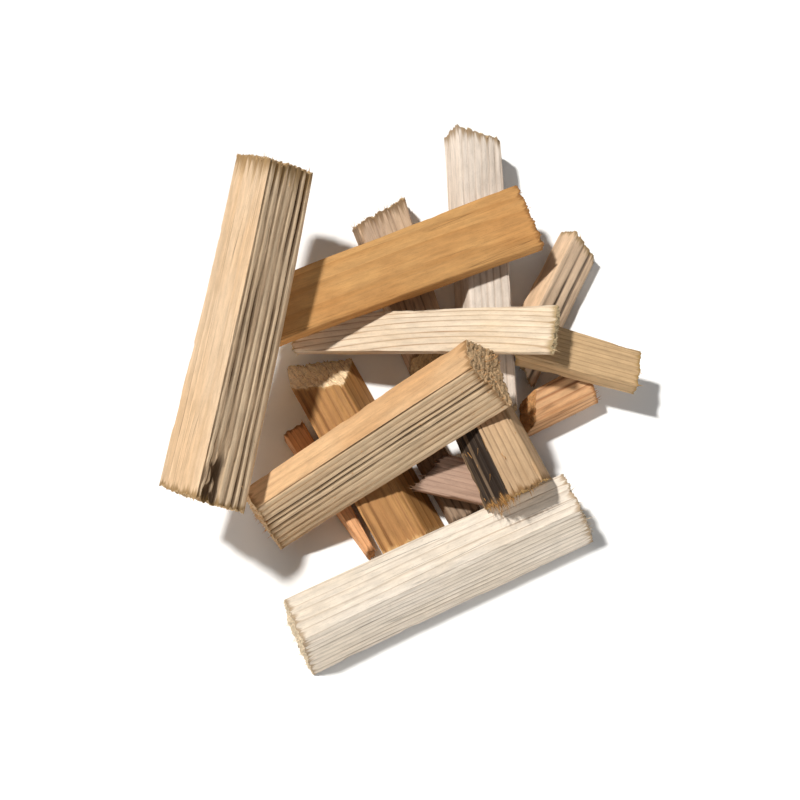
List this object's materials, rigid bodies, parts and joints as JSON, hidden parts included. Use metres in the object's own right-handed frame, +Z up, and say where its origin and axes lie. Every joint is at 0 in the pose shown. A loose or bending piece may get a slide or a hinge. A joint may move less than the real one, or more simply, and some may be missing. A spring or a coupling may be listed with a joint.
{
  "type": "heap of kindling sticks",
  "caption": "Loose heap of split softwood kindling sticks lying across each other, for lighting a stove or an open fire.",
  "frame": {"origin": "bottom centre of the heap's bounding box, on the surface it lies on", "axes": "+Z up; +X to the right and +Y away, seen by someone standing at the front stick"},
  "size_m": [0.2824, 0.3564, 0.1035],
  "materials": {
    "tan_wood": "split face, weathered, standing growth rings",
    "pale_wood": "dry split face, sun bleached",
    "grey_wood": "dry split face, greyed, dark stripes",
    "orange_wood": "smooth split face, faint sheen",
    "yellow_wood": "split face, wide yellow rings",
    "red_wood": "split heartwood, matt",
    "pink_wood": "dry split face, pinkish, matt"
  },
  "bodies": {
    "root": {"left_ribbed_stick": "tan_wood", "centre_ribbed_stick": "tan_wood", "frayed_stick": "tan_wood", "front_stick": "pale_wood", "level_pale_stick": "pale_wood", "back_pale_stick": "grey_wood", "striped_stick": "grey_wood", "hidden_brown_stick": "grey_wood", "orange_slat": "orange_wood", "yellow_stick": "yellow_wood", "right_slat": "yellow_wood", "red_side_stick": "red_wood", "red_stick": "red_wood", "back_left_stick": "pink_wood", "pink_stick": "pink_wood"}
  },
  "joints": []
}
